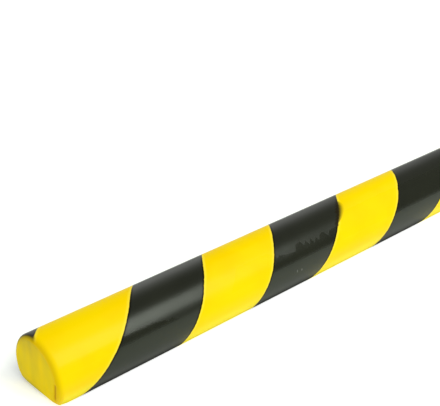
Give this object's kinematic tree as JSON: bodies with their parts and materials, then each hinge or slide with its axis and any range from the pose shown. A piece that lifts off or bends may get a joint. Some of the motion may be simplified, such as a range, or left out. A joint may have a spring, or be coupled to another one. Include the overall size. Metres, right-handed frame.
{
  "type": "impact protection strip",
  "caption": "Foam impact protection strip with a round striking face in yellow and black warning bands, rounded ends and a flat back with self-adhesive tape.",
  "frame": {"origin": "middle of the underside, where the release liner lies on the ground", "axes": "+X along the strip, +Z from the flat back to the crown of the round face, +Y across"},
  "size_m": [1, 0.04, 0.0329],
  "materials": {
    "foam_skin": "satin closed skin of moulded foam, yellow with black diagonal bands",
    "tape": "matte foam tape, off-white",
    "liner": "smooth siliconised paper, cream"
  },
  "bodies": {
    "root": {"foam_profile": "foam_skin", "adhesive_tape": "tape", "release_liner": "liner"}
  },
  "joints": []
}
